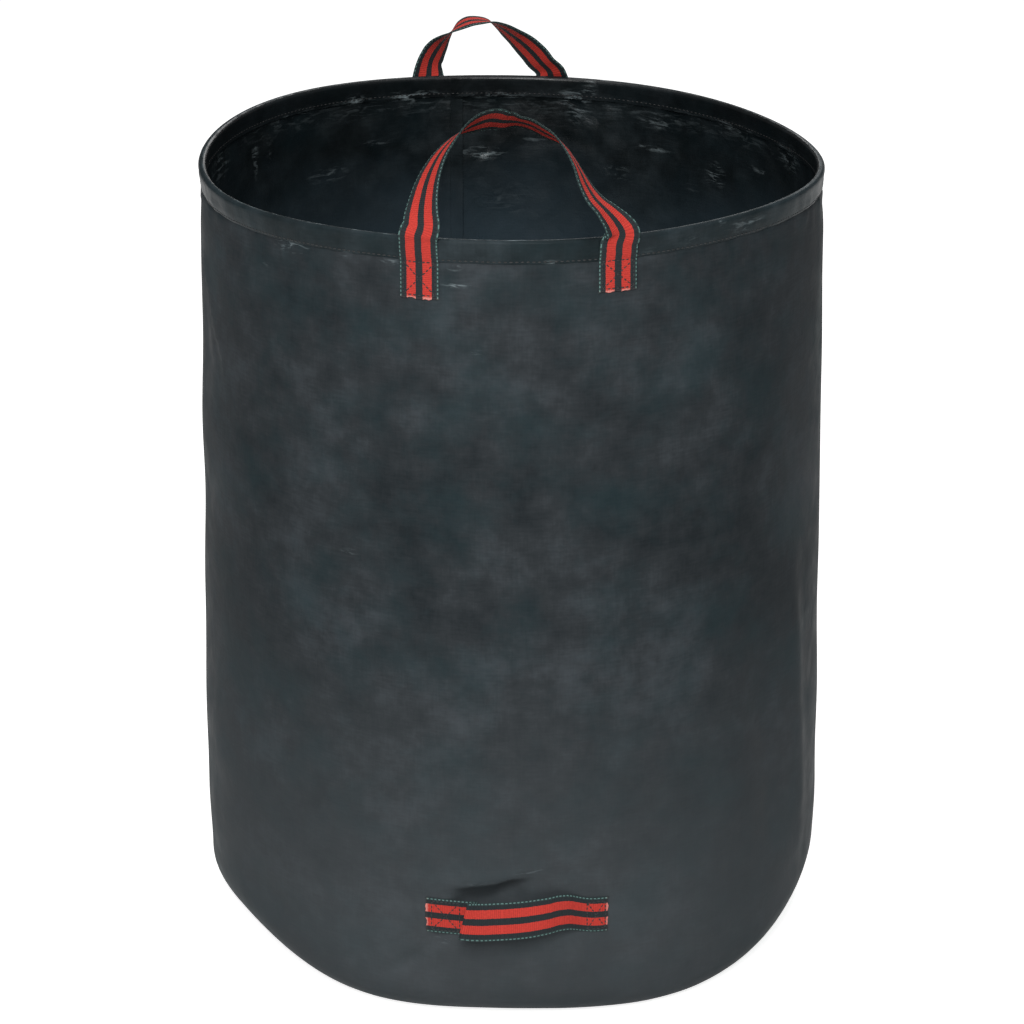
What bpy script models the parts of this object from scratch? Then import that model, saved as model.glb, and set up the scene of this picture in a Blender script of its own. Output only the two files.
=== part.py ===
"""A round garden bag that stands by itself, with a hoop in its rim and three webbing handles.

The wall is one length of laminated woven cloth, closed by a seam and sewn to a round base. A hem
round the mouth holds a rod that is bent to a hoop, with its ends met in a sleeve. Two lift handles
are sewn to the rim, front and rear, and a third lies low on the front, for tipping the bag out.
Metres, +Z up, the front towards -Y, and the origin on the floor under the middle of the base.
"""

import math

import bmesh
import bpy
from mathutils import Vector

# Bag: the rim is measured over the hem, and the base just above its rounded lower edge
HEIGHT = 0.875
RIM_RADIUS = 0.335
BASE_RADIUS = 0.3475
LOWER_EDGE_RADIUS = 0.055
CLOTH = 0.0008
GAP = 0.0003

# Seams: how wide the turned-in edges are, and where round the bag the wall's own seam is
BASE_SEAM_WIDTH = 0.012
SIDE_SEAM_WIDTH = 0.014

# Rim: the hem's depth from the top, the rod of the hoop and the sleeve over its ends
HEM_DEPTH = 0.024
HOOP_ROD_RADIUS = 0.0025
HOOP_END_GAP = 0.0005
JOINER_WALL = 0.0005

# Webbing of all three handles
WEBBING_WIDTH = 0.040
WEBBING = 0.0016

# Lift handles: how far the sewn foot reaches below the rim, how high above the rim the strap
# bends, and how much height it takes to step over the hem's lower edge
FOOT_DEPTH = 0.058
BEND_HEIGHT = 0.009
STEP_HEIGHT = 0.003

# Each lift handle: between its feet, its offset from the bag's middle, and its rise
FRONT_SPACING = 0.195
FRONT_OFFSET = 0.0075
FRONT_RISE = 0.135
REAR_SPACING = 0.155
REAR_OFFSET = 0.026
REAR_RISE = 0.080

# Tipping handle: height of its middle, offset, free width between the feet, sewn length of a
# foot, how far it stands off the wall, and the part of it that swings
GRAB_HEIGHT = 0.133
GRAB_OFFSET = 0.006
GRAB_FREE_WIDTH = 0.129
GRAB_FOOT_LENGTH = 0.032
GRAB_BOW = 0.030
GRAB_SWING_WIDTH = 0.080

# Angles: how each handle lies at rest, and how far a lift handle turns from upright
FRONT_LEAN = math.radians(33)
REAR_LEAN = math.radians(0)
GRAB_DROOP = math.radians(15)
TURN_OUT = math.radians(140)
TURN_IN = math.radians(97)

# Facets: round the bag, round a rod, in a quarter turn, along a handle and across a strap
SIDES = 72
ROD_SIDES = 8
QUARTER_STEPS = 6
HANDLE_STEPS = 32
ACROSS_STEPS = 4
SIDE_SEAM_FACET = 20
JOINER_FACET = 27

# Places that follow from the sizes above
TUNNEL_RADIUS = HOOP_ROD_RADIUS + JOINER_WALL + 2 * GAP
HEM_RADIUS = TUNNEL_RADIUS + CLOTH
HOOP_LINE = RIM_RADIUS - HEM_RADIUS
SLOT = CLOTH / 2 + GAP
HEM_TANGENT = math.radians(10)
BASE_FLAT = BASE_RADIUS - LOWER_EDGE_RADIUS
HALF_STRAP = WEBBING / 2
FACET = 2 * math.pi / SIDES


def srgb(hex_colour):
    """The linear colour of a hex one such as B6352D."""
    parts = [int(hex_colour[place:place + 2], 16) / 255 for place in (0, 2, 4)]
    return [part / 12.92 if part < 0.04045 else ((part + 0.055) / 1.055) ** 2.4 for part in parts]


def material(name, hex_colour, roughness, metallic=0.0):
    made = bpy.data.materials.new(name)
    made.use_nodes = True
    shader = made.node_tree.nodes["Principled BSDF"]
    shader.inputs["Base Color"].default_value = (*srgb(hex_colour), 1)
    shader.inputs["Roughness"].default_value = roughness
    shader.inputs["Metallic"].default_value = metallic
    made.diffuse_color = (*srgb(hex_colour), 1)
    return made


def empty(name, location, parent=None, turn=(0, 0, 0)):
    holder = bpy.data.objects.new(name, None)
    holder.location = location
    holder.rotation_euler = turn
    holder.parent = parent
    bpy.context.scene.collection.objects.link(holder)
    return holder


def piece(name, shape, finish, parent=None):
    """Turns a bmesh into a named object with its material, shaded smooth up to a crease."""
    bmesh.ops.recalc_face_normals(shape, faces=shape.faces)
    mesh = bpy.data.meshes.new(name)
    shape.to_mesh(mesh)
    shape.free()
    mesh.materials.append(finish)
    mesh.shade_smooth()
    mesh.set_sharp_from_angle(angle=math.radians(30))
    made = bpy.data.objects.new(name, mesh)
    made.parent = parent
    bpy.context.scene.collection.objects.link(made)
    return made


def arc(radius, start, end, steps, centre=(0, 0)):
    """Points from one angle to another on a circle, both ends included."""
    turns = [start + (end - start) * step / steps for step in range(steps + 1)]
    return [(centre[0] + radius * math.cos(turn), centre[1] + radius * math.sin(turn)) for turn in turns]


def turned(outline):
    """Spins a closed outline of (radius, height) points a full turn about Z."""
    shape = bmesh.new()
    corners = [shape.verts.new((radius, 0, height)) for radius, height in outline]
    edges = [shape.edges.new(pair) for pair in zip(corners, corners[1:] + corners[:1])]
    bmesh.ops.spin(
        shape, geom=corners + edges, cent=(0, 0, 0), axis=(0, 0, 1),
        angle=2 * math.pi, steps=SIDES, use_merge=True,
    )
    return shape


def lofted(sections):
    """Joins rings of as many points each, one after the other, and closes both ends.

    Where a strap twists, each of its two sides is split along the same diagonals, so that its
    thickness stays the same. The second half of a ring runs back along the strap's front.
    """
    shape = bmesh.new()
    rings = [[shape.verts.new(point) for point in section] for section in sections]
    turning_back = len(rings[0]) // 2
    for ring, following in zip(rings, rings[1:]):
        for place in range(len(ring)):
            near, far = (ring[place - 1], ring[place]), (following[place - 1], following[place])
            if 0 < place < turning_back:
                shape.faces.new((near[0], near[1], far[1]))
                shape.faces.new((near[0], far[1], far[0]))
            else:
                shape.faces.new((near[0], near[1], far[0]))
                shape.faces.new((near[1], far[1], far[0]))
    shape.faces.new(rings[0])
    shape.faces.new(rings[-1])
    return shape


def smooth(share):
    """Eases from 0 to 1 as share does."""
    share = min(max(share, 0), 1)
    return share * share * (3 - 2 * share)


def wall_radius(height):
    """Outside of the wall above its rounded edge: a cone up to the hem, and upright inside it."""
    hem_foot = HEIGHT - HEM_DEPTH
    top = HOOP_LINE + CLOTH / 2
    share = (height - LOWER_EDGE_RADIUS) / (hem_foot - LOWER_EDGE_RADIUS)
    return BASE_RADIUS + (top - BASE_RADIUS) * min(share, 1)


def wall(finish):
    """The wall panel: it turns in at the bottom to meet the base, and ends inside the hem."""
    centre = (BASE_FLAT, LOWER_EDGE_RADIUS)
    hem_foot = HEIGHT - HEM_DEPTH
    top = HEIGHT - HEM_RADIUS - TUNNEL_RADIUS
    outside = arc(LOWER_EDGE_RADIUS, -math.pi / 2, 0, QUARTER_STEPS, centre)
    outside += [(wall_radius(hem_foot), hem_foot), (wall_radius(top), top)]
    inside = arc(LOWER_EDGE_RADIUS - CLOTH, -math.pi / 2, 0, QUARTER_STEPS, centre)
    inside += [(wall_radius(hem_foot) - CLOTH, hem_foot), (wall_radius(top) - CLOTH, top)]
    piece("wall_panel", turned(outside + inside[::-1]), finish)


def base(finish):
    """The round base panel, flat on the floor."""
    shape = bmesh.new()
    made = bmesh.ops.create_circle(shape, cap_ends=True, radius=BASE_FLAT - GAP, segments=SIDES)
    grown = bmesh.ops.extrude_face_region(shape, geom=made["verts"][0].link_faces[:])
    raised = [part for part in grown["geom"] if isinstance(part, bmesh.types.BMVert)]
    bmesh.ops.translate(shape, verts=raised, vec=(0, 0, CLOTH))
    piece("base_panel", shape, finish)


def base_seam(finish):
    """The cut edges of wall and base, sewn together and standing inside on the base's edge."""
    outer = BASE_FLAT - GAP
    inner = outer - 2 * CLOTH
    foot = CLOTH + GAP
    top = foot + BASE_SEAM_WIDTH
    piece("base_seam_allowance", turned([(outer, foot), (outer, top), (inner, top), (inner, foot)]), finish)


def side_seam(finish):
    """The turned-in edges of the wall's own seam: a strip flat against the middle of one facet."""
    middle = (SIDE_SEAM_FACET + 0.5) * FACET
    sections = []
    for height in (LOWER_EDGE_RADIUS, HEIGHT - HEM_DEPTH - GAP):
        outer = (wall_radius(height) - CLOTH) * math.cos(FACET / 2) - GAP
        half_turn = SIDE_SEAM_WIDTH / 2 / outer
        corners = [
            (outer, -half_turn), (outer, half_turn), (outer - 2 * CLOTH, half_turn), (outer - 2 * CLOTH, -half_turn),
        ]
        sections.append([
            (radius * math.cos(middle + turn), radius * math.sin(middle + turn), height) for radius, turn in corners
        ])
    piece("side_seam_allowance", lofted(sections), finish)


def hem(finish, rim):
    """The cloth sleeve of the rim: round over the hoop, and drawn in to the wall it is sewn to."""
    centre = (HOOP_LINE, -HEM_RADIUS)
    steps = 2 * QUARTER_STEPS
    outside = arc(HEM_RADIUS, -HEM_TANGENT, math.pi + HEM_TANGENT, steps, centre)
    inside = arc(TUNNEL_RADIUS, -HEM_TANGENT, math.pi + HEM_TANGENT, steps, centre)
    outline = [(HOOP_LINE + SLOT + CLOTH, -HEM_DEPTH), *outside, (HOOP_LINE - SLOT - CLOTH, -HEM_DEPTH)]
    outline += [(HOOP_LINE - SLOT, -HEM_DEPTH), *inside[::-1], (HOOP_LINE + SLOT, -HEM_DEPTH)]
    piece("rim_hem", turned(outline), finish, rim)


def rod_ring(turn, radii):
    """One section through the hoop or its sleeve, square to the ring at this turn about Z."""
    points = []
    for radius in radii:
        for across, up in arc(radius, 0, 2 * math.pi, ROD_SIDES)[:-1]:
            distance = HOOP_LINE + across
            points.append((distance * math.cos(turn), distance * math.sin(turn), up - HEM_RADIUS))
    return points


def hoop(finish, rim):
    """The hoop: a rod bent round the whole rim, with a slit where its ends meet."""
    meeting = JOINER_FACET * FACET
    slit = HOOP_END_GAP / 2 / HOOP_LINE
    turns = [meeting + slit] + [meeting + step * FACET for step in range(1, SIDES)]
    turns.append(meeting + SIDES * FACET - slit)
    piece("rim_hoop", lofted([rod_ring(turn, [HOOP_ROD_RADIUS]) for turn in turns]), finish, rim)


def joiner(finish, rim):
    """The sleeve that both ends of the hoop are pushed into: a bent tube, open at both ends."""
    bore = HOOP_ROD_RADIUS + GAP
    shape = bmesh.new()
    rings = []
    for step in (-1, 0, 1):
        points = rod_ring((JOINER_FACET + step) * FACET, [bore + JOINER_WALL, bore])
        corners = [shape.verts.new(point) for point in points]
        rings.append((corners[:ROD_SIDES], corners[ROD_SIDES:]))
    for ring, following in zip(rings, rings[1:]):
        for near, far in zip(ring, following):
            for place in range(ROD_SIDES):
                shape.faces.new((near[place - 1], near[place], far[place], far[place - 1]))
    for outer, inner in (rings[0], rings[-1]):
        for place in range(ROD_SIDES):
            shape.faces.new((outer[place - 1], outer[place], inner[place], inner[place - 1]))
    piece("hoop_joiner", shape, finish, rim)


def end_drop(turn):
    """How far below the bend a foot's face ends, so that the strap can turn this far over it."""
    return (HALF_STRAP + GAP - HALF_STRAP * math.cos(turn)) / math.sin(turn)


def bend_line(spacing, offset):
    """Distance from the bag's axis to a lift handle's bend line, just clear of the rim."""
    inner_edges = [abs(offset + side * spacing / 2) - WEBBING_WIDTH / 2 for side in (-1, 1)]
    nearest = max(min(inner_edges), 0)
    return math.sqrt((RIM_RADIUS + GAP) ** 2 - nearest**2) + GAP + HALF_STRAP


def foot_radius(height):
    """Where the strap's back lies, at a height from the rim's top: on wall, hem or bulge."""
    if height <= -HEM_DEPTH - STEP_HEIGHT:
        return wall_radius(HEIGHT + height) + GAP
    tangent_height = -HEM_RADIUS - HEM_RADIUS * math.sin(HEM_TANGENT)
    tangent_radius = HOOP_LINE + HEM_RADIUS * math.cos(HEM_TANGENT)
    hem_edge = HOOP_LINE + SLOT + CLOTH
    share = (height + HEM_DEPTH) / (tangent_height + HEM_DEPTH)
    if share <= 1:
        return hem_edge + (tangent_radius - hem_edge) * max(share, 0) + GAP
    return RIM_RADIUS + GAP


def lift_foot(name, centre, line, finish, side):
    """A sewn end of a lift handle: it lies round the wall and hem, then flattens to the bend line."""
    tangent_height = -HEM_RADIUS - HEM_RADIUS * math.sin(HEM_TANGENT)
    inner_end = BEND_HEIGHT - end_drop(TURN_IN)
    outer_end = BEND_HEIGHT - end_drop(TURN_OUT)
    heights = [-FOOT_DEPTH, -HEM_DEPTH - STEP_HEIGHT, -HEM_DEPTH - GAP, tangent_height, -HEM_RADIUS]
    straightening = [-HEM_RADIUS + (outer_end + HEM_RADIUS) * step / 4 for step in (1, 2, 3, 4)]
    rows = [(height, height) for height in heights + straightening] + [(inner_end, outer_end)]
    middle = math.asin(centre / RIM_RADIUS)
    sections = []
    for inner_height, outer_height in rows:
        flatness = smooth((outer_height + HEM_RADIUS) / (outer_end + HEM_RADIUS))
        faces = []
        for height, out in ((inner_height, 0), (outer_height, WEBBING)):
            face = []
            for step in range(ACROSS_STEPS + 1):
                across = WEBBING_WIDTH * (step / ACROSS_STEPS - 0.5)
                turn = middle + across / RIM_RADIUS
                radius = foot_radius(min(height, outer_height)) + out
                wrapped = Vector((radius * math.sin(turn), -radius * math.cos(turn), height))
                straight = Vector((centre + across, -line + HALF_STRAP - out, height))
                face.append(wrapped.lerp(straight, flatness))
            faces.append(face)
        sections.append(faces[0] + faces[1][::-1])
    piece(name, lofted(sections), finish, side)


def strap_section(middle, across, outward, half_thickness):
    """A strap's outline at a point of its middle line: across its back, then back along its front."""
    steps = [WEBBING_WIDTH * (step / ACROSS_STEPS - 0.5) for step in range(ACROSS_STEPS + 1)]
    thick = outward * half_thickness
    back = [middle + across * step - thick for step in steps]
    front = [middle + across * step + thick for step in steps]
    return back + front[::-1]


def lift_loop(name, spacing, rise, finish, hinge):
    """A lift handle's free part: an arch that turns a quarter turn from each leg to its grip."""
    half = spacing / 2
    front = Vector((0, -1, 0))
    nose = []
    for turn in (math.radians(75), math.radians(50), math.radians(25)):
        nose.append((-HALF_STRAP * math.sin(turn), HALF_STRAP * math.cos(turn)))
    across = Vector((1, 0, 0))
    sections = [strap_section(Vector((-half, 0, drop)), across, front, thin) for drop, thin in nose]
    for step in range(HANDLE_STEPS + 1):
        share = step / HANDLE_STEPS
        turn = math.pi * share
        middle = Vector((-half * math.cos(turn), 0, rise * math.sin(turn)))
        along = Vector((half * math.sin(turn), 0, rise * math.cos(turn))).normalized()
        upward = Vector((-along.z, 0, along.x))
        twist = math.pi / 2 * smooth(1 - abs(2 * share - 1))
        outward = front * math.cos(twist) + upward * math.sin(twist)
        sections.append(strap_section(middle, along.cross(outward), outward, HALF_STRAP))
    sections += [strap_section(Vector((half, 0, drop)), -across, front, thin) for drop, thin in nose[::-1]]
    piece(name, lofted(sections), finish, hinge)


def lift_handle(name, spacing, offset, rise, lean, finish, side):
    """A lift handle: two sewn feet and the loop, which turns about the line where they bend."""
    line = bend_line(spacing, offset)
    for end, sign in (("left", -1), ("right", 1)):
        if name == "rear":
            end = "right" if end == "left" else "left"
        lift_foot(f"{name}_handle_{end}_foot", offset + sign * spacing / 2, line, finish, side)
    hinge = empty(f"{name}_handle_hinge", (offset, -line, BEND_HEIGHT), side, (-lean, 0, 0))
    lift_loop(f"{name}_handle_loop", spacing, rise, finish, hinge)


def grab_back(place):
    """The line of the tipping handle's back, seen from above: on the wall, and off it between the feet."""
    edges = (GRAB_HEIGHT - WEBBING_WIDTH / 2, GRAB_HEIGHT + WEBBING_WIDTH / 2)
    radius = max(wall_radius(edge) for edge in edges) + GAP
    from_middle = min(abs(place - GRAB_OFFSET) / (GRAB_FREE_WIDTH / 2), 1)
    return -math.sqrt(radius**2 - place**2) - GRAB_BOW * math.cos(math.pi / 2 * from_middle) ** 2


def grab_strap(start, end, steps):
    """Sections of the tipping handle from one side to the other, each upright and square to X."""
    sections = []
    for step in range(steps + 1):
        place = start + (end - start) * step / steps
        tiny = WEBBING / 2
        slope = (grab_back(place + tiny) - grab_back(place - tiny)) / (2 * tiny)
        thick = WEBBING * math.sqrt(1 + slope**2)
        back = grab_back(place)
        low = GRAB_HEIGHT - WEBBING_WIDTH / 2
        high = GRAB_HEIGHT + WEBBING_WIDTH / 2
        sections.append([
            Vector((place, back, low)), Vector((place, back, high)),
            Vector((place, back - thick, high)), Vector((place, back - thick, low)),
        ])
    return sections


def grab_handle(finish):
    """The tipping handle: two sewn feet, and between them the loop that swings up and down."""
    swing = GRAB_SWING_WIDTH / 2
    free = GRAB_FREE_WIDTH / 2
    ends = (("left", -1), ("right", 1))
    for end, sign in ends:
        near = GRAB_OFFSET + sign * (swing + GAP)
        far = GRAB_OFFSET + sign * (free + GRAB_FOOT_LENGTH)
        piece(f"bottom_handle_{end}_foot", lofted(grab_strap(near, far, HANDLE_STEPS // 3)), finish)
    bends = [grab_back(GRAB_OFFSET + sign * swing) - HALF_STRAP for end, sign in ends]
    centre = Vector((GRAB_OFFSET, sum(bends) / 2, GRAB_HEIGHT))
    hinge = empty("bottom_handle_hinge", centre, None, (GRAB_DROOP, 0, 0))
    sections = grab_strap(GRAB_OFFSET - swing, GRAB_OFFSET + swing, HANDLE_STEPS // 2)
    loop = [[corner - centre for corner in section] for section in sections]
    piece("bottom_handle_loop", lofted(loop), finish, hinge)


for old in list(bpy.data.objects):
    bpy.data.objects.remove(old)

laminated_cloth = material("laminated woven cloth", "34393D", 0.45)
inner_cloth = material("laminated woven cloth, inside", "1A1E21", 0.40)
striped_webbing = material("striped polypropylene webbing", "A8362E", 0.75)
moulded_rod = material("glass-fibre rod", "1F2123", 0.50)
moulded_sleeve = material("moulded plastic sleeve", "2B2D2F", 0.55)

wall(laminated_cloth)
base(laminated_cloth)
base_seam(inner_cloth)
side_seam(inner_cloth)

rim_frame = empty("rim_frame", (0, 0, HEIGHT))
hem(laminated_cloth, rim_frame)
hoop(moulded_rod, rim_frame)
joiner(moulded_sleeve, rim_frame)

front_side = empty("front_side", (0, 0, 0), rim_frame)
rear_side = empty("rear_side", (0, 0, 0), rim_frame, (0, 0, math.pi))
lift_handle("front", FRONT_SPACING, FRONT_OFFSET, FRONT_RISE, FRONT_LEAN, striped_webbing, front_side)
lift_handle("rear", REAR_SPACING, REAR_OFFSET, REAR_RISE, REAR_LEAN, striped_webbing, rear_side)
grab_handle(striped_webbing)
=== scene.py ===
import math

import bpy
import numpy as np
from mathutils import Matrix, Vector


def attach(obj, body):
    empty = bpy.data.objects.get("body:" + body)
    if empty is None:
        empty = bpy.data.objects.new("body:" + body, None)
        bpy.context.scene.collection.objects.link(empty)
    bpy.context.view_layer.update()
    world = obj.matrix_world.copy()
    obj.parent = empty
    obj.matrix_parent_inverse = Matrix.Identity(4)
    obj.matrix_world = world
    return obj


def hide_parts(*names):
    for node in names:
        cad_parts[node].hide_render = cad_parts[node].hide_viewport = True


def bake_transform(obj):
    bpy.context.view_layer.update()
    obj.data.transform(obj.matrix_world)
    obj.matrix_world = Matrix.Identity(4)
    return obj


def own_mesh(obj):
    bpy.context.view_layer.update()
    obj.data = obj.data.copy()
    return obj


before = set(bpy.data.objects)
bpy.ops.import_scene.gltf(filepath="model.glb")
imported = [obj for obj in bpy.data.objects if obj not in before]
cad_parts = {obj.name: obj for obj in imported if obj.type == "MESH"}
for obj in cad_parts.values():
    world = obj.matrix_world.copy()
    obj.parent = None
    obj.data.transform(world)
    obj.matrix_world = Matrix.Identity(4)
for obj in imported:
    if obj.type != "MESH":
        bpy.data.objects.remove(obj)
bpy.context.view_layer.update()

# Wall: one length of laminated woven polypropylene, joined into a tube by an upright seam at
# the rear and sewn to the base below. It stands by its own stiffness, a little uneven all over,
# with a broad fold at the right and a pleat where the tipping handle pulls it.
CLOTH = 0.0008
BASE_RADIUS = 0.3475
RIM_RADIUS = 0.331
LOWER_EDGE = 0.055
EDGE_ENDS = 0.11
HEM_FOOT = 0.851
WALL_TOP = 0.865
CUFF_TOP = 0.190
BAND_FOOT = 0.803
BAND_RISE = 0.047
TUCKED_IN = 0.0014
SIDE_FULLNESS = 0.0026
SEAM_ANGLE = math.radians(102.5)
CLOTH_GIRTH = 2.16
FULL_TURN = 2 * math.pi
# Radii of the rounded lower edge, one for every 10 degrees from EDGE_FROM on, of which the last
# holds for the rest of the round. Then the rim's waves: how many go round, and how high.
EDGE_FROM = 170
LOWER_EDGE_RADII_MM = (
    55, 58, 69, 85, 92, 79, 60, 48, 49, 60, 63, 55, 44, 34, 37, 47, 61, 78, 82, 74, 64, 58, 55)
HOOP_WAVES_MM = (
    (0, -0.97, 0), (1, -2.92, 0.90), (2, -2.66, -3.80), (3, 0.04, 0.89), (4, -1.29, -1.38))


def hoop_lift(angle):
    """How far the hoop's rod has sprung out of flat, in metres, by angle round the bag."""
    return sum(cosine * np.cos(count * angle) + sine * np.sin(count * angle)
               for count, cosine, sine in HOOP_WAVES_MM) / 1000


def ease(value):
    """Smooth step from 0 to 1."""
    value = np.clip(value, 0, 1)
    return value * value * (3 - 2 * value)


def lower_edge(angle):
    """Radius of the rounded lower edge by angle, in metres, eased over a few degrees."""
    places, asides = np.arange(len(LOWER_EDGE_RADII_MM)) * 10, (-6, -3, 0, 3, 6)
    total = sum(np.interp((np.degrees(angle) + aside - EDGE_FROM) % 360, places,
                          LOWER_EDGE_RADII_MM) for aside in asides)
    return total / len(asides) / 1000


def wall_radius(height):
    """Radius of the wall's outer face at a height, where it is taut."""
    share = (height - LOWER_EDGE) / (HEM_FOOT - LOWER_EDGE)
    return BASE_RADIUS + (RIM_RADIUS - BASE_RADIUS) * share


def fullness(angle, height):
    """How much further than taut the wall stands out at its two sides."""
    share = ease((height - 0.06) / 0.08) * (1 - 0.55 * ease((height - 0.80) / 0.05))
    return SIDE_FULLNESS * share * np.cos(angle) ** 2


def profile(angle, share):
    """Radius, height and distance up the cloth of the wall's outer face. A share of 0 is the
    base seam and 1 is where the rounded edge has ended; the rest of it counts in metres."""
    corner = lower_edge(angle)
    above = np.clip(share - 1, 0, None)
    start = np.where(corner > LOWER_EDGE, np.arcsin((corner - LOWER_EDGE) / corner), 0)
    flat = np.where(corner < LOWER_EDGE, LOWER_EDGE - corner, 0)
    arc = corner * (math.pi / 2 - start)
    low_length = flat + arc + EDGE_ENDS - corner
    way = np.clip(share, 0, 1) * low_length
    turned = start + np.clip(way - flat, 0, arc) / corner
    radius = BASE_RADIUS - corner + corner * np.sin(turned) - np.clip(flat - way, 0, None)
    height = corner - corner * np.cos(turned) + np.clip(way - flat - arc, 0, None)
    radius = radius + wall_radius(np.maximum(height + above, LOWER_EDGE)) - BASE_RADIUS
    radius = radius + fullness(angle, height + above)
    lifted = hoop_lift(angle) * ease((above + EDGE_ENDS - BAND_FOOT) / BAND_RISE)
    return radius, height + above + lifted, EDGE_ENDS + above - low_length + way


def select_none():
    bpy.ops.object.select_all(action="DESELECT")


def edit_all():
    bpy.ops.object.mode_set(mode="EDIT")
    bpy.ops.mesh.select_all(action="SELECT")


def placed_grid(name, places, across, along, closed=False, creases_and_glints=None):
    """Adds a grid and puts its points at places[row][column], with a UV map in metres and,
    for cloth, how creased each point is, which also sets its painted glints."""
    rows, columns = places.shape[:2]
    bpy.ops.mesh.primitive_grid_add(x_subdivisions=columns - 1, y_subdivisions=rows - 1, size=1)
    piece = bpy.context.object
    piece.name = name
    piece.data.name = name
    piece.data.vertices.foreach_set("co", places.reshape(-1).astype(np.float32))
    corners = np.zeros(len(piece.data.loops) * 2, np.float32)
    layer = piece.data.uv_layers[0]
    layer.data.foreach_get("uv", corners)
    corners = corners.reshape(-1, 2)
    column = np.rint(corners[:, 0] * (columns - 1)).astype(int)
    row = np.rint(corners[:, 1] * (rows - 1)).astype(int)
    laid = np.stack([across[row, column], along[row, column]], axis=1)
    layer.data.foreach_set("uv", laid.reshape(-1).astype(np.float32))
    if creases_and_glints is not None:
        amount = piece.data.attributes.new("creases_and_glints", "FLOAT", "POINT")
        amount.data.foreach_set("value", creases_and_glints.reshape(-1).astype(np.float32))
    if closed:
        edit_all()
        bpy.ops.mesh.remove_doubles(threshold=0.00001)
        bpy.ops.object.mode_set(mode="OBJECT")
    piece.data.update()
    return piece


def thicken(piece, thickness, *materials, offset=-1.0, even=True):
    """Gives a sheet one material, or one for each face, and its thickness. Offset -1 adds that
    on the side away from its normals."""
    for material in materials:
        piece.data.materials.append(material)
    sheet = piece.modifiers.new("thickness", "SOLIDIFY")
    sheet.thickness = thickness
    sheet.offset = offset
    sheet.use_even_offset = even
    sheet.material_offset = sheet.material_offset_rim = len(materials) - 1
    bpy.context.view_layer.objects.active = piece
    bpy.ops.object.modifier_apply(modifier=sheet.name)


def smooth(piece, degrees=40):
    select_none()
    piece.select_set(True)
    bpy.context.view_layer.objects.active = piece
    bpy.ops.object.shade_smooth_by_angle(angle=math.radians(degrees))
    piece.select_set(False)


def round_places(radius, angle, height):
    return np.stack([radius * np.cos(angle), radius * np.sin(angle), height], axis=2)


def outward(places):
    """Unit normals of a grid of places, on the side that its faces show."""
    sideways = np.gradient(places, axis=1)
    upwards = np.gradient(places, axis=0)
    normals = np.cross(sideways, upwards)
    return normals / np.maximum(np.linalg.norm(normals, axis=2, keepdims=True), 1e-12)


def ripples(around, up, seed, count, shortest, longest):
    """Gentle unevenness: a count of crossing waves between two lengths, in metres."""
    chance = np.random.RandomState(seed)
    total = 0.0
    for _ in range(count):
        length = chance.uniform(shortest, longest)
        bearing = chance.uniform(0, math.pi)
        way = around * math.cos(bearing) + up * math.sin(bearing)
        total = total + np.sin(way * FULL_TURN / length + chance.uniform(0, FULL_TURN))
    return total / math.sqrt(count)


def along_girth(degrees):
    """Distance along the cloth from the side seam to an angle round the bag."""
    return (degrees - math.degrees(SEAM_ANGLE)) % 360 / 360 * CLOTH_GIRTH


def fold(around, height, path_mm, deep_mm, wide_mm, stepped=False):
    """Lift of the cloth along a path of (angle, height) points. A stepped fold stands up on
    its left, seen along the path, and sinks on its right."""
    points = [(along_girth(angle), up / 1000) for angle, up in path_mm]
    wide = wide_mm / 1000
    nearest = np.full(around.shape, 1e9)
    aside = np.zeros(around.shape)
    way = np.zeros(around.shape)
    done = 0.0
    for (here_x, here_y), (there_x, there_y) in zip(points[:-1], points[1:]):
        step_x, step_y = there_x - here_x, there_y - here_y
        length = math.hypot(step_x, step_y)
        from_x, from_y = around - here_x, height - here_y
        share = np.clip((from_x * step_x + from_y * step_y) / length ** 2, 0, 1)
        distance = np.hypot(from_x - share * step_x, from_y - share * step_y)
        closer = distance < nearest
        nearest = np.where(closer, distance, nearest)
        aside = np.where(closer, np.sign(step_x * from_y - step_y * from_x), aside)
        way = np.where(closer, done + share * length, way)
        done += length
    ends = ease(way / (0.25 * done)) * ease((done - way) / (0.25 * done))
    lift = deep_mm / 1000 * ends * np.exp(-((nearest / wide) ** 2))
    if stepped:
        lift = lift * aside * (1 - np.exp(-nearest / (0.25 * wide)))
    return lift


# Where the cloth is folded or dented: a path of angles and heights, how deep and how wide, and
# True where one side stands over the other. The one over the tipping handle is the deepest.
FOLDS_MM = (
    (((190.5, 800), (195, 752), (200.3, 711), (206.8, 677)), 3, 14, True),
    (((190, 760), (194, 690), (197, 640)), -2.2, 22),
    (((318, 470), (321.9, 325), (325.3, 222), (325.7, 100)), -6, 24),
    (((331, 500), (333.9, 357), (336.4, 194), (336.9, 80)), 4, 20),
    (((309, 430), (312, 300), (314, 160)), 1.8, 22),
    (((258.5, 164), (263, 169), (268, 174), (275, 183)), 7, 13, True),
    (((258.5, 150), (262.5, 147), (267.5, 153), (273.5, 172)), -12.5, 14),
    (((264.5, 138), (268, 155), (273, 179)), -4, 10, True),
    (((258.8, 119), (257.1, 108), (253.8, 87), (249, 60)), -5, 6.5),
    (((258, 104), (255.5, 94), (253, 80)), 1.6, 10),
    (((213, 120), (219, 95), (226, 80)), -5, 26),
    (((236, 540), (244.6, 527)), 0.6, 10),
    (((246.5, 581), (256, 573)), 0.6, 10),
)
# Where a sewn end of a strap holds the cloth flat: angle, half width, lower and upper height.
SEWN_ENDS_MM = (
    (254.1, 20, 810, 870), (288.4, 20, 810, 870), (107, 20, 810, 870), (82, 20, 810, 870),
    (259.6, 28, 112, 154), (282.4, 28, 112, 154),
)
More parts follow.
